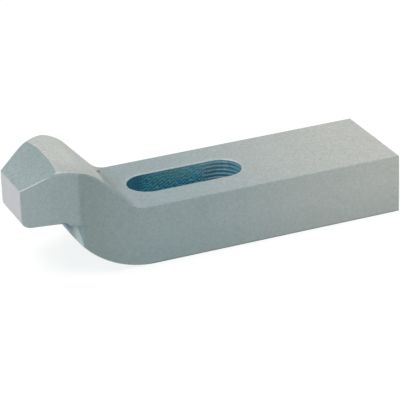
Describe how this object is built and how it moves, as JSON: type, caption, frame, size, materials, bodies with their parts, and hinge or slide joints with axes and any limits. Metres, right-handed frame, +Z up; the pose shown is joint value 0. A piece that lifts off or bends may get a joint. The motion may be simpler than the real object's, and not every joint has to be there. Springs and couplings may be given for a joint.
{
  "type": "strap clamp",
  "caption": "Goose-neck strap clamp for holding work on a machine table: a flat steel bar with a long stud slot and a raised, tapered nose that presses on the workpiece.",
  "frame": {"origin": "middle of the bar's length and width, on the flat bottom face", "axes": "+X along the bar from the nose tip to the heel, +Y across the bar, +Z up from the bottom face"},
  "size_m": [0.16, 0.045, 0.046],
  "materials": {
    "painted_steel": "satin grey-green enamel on forged steel"
  },
  "bodies": {
    "root": {"strap_clamp": "painted_steel"}
  },
  "joints": []
}
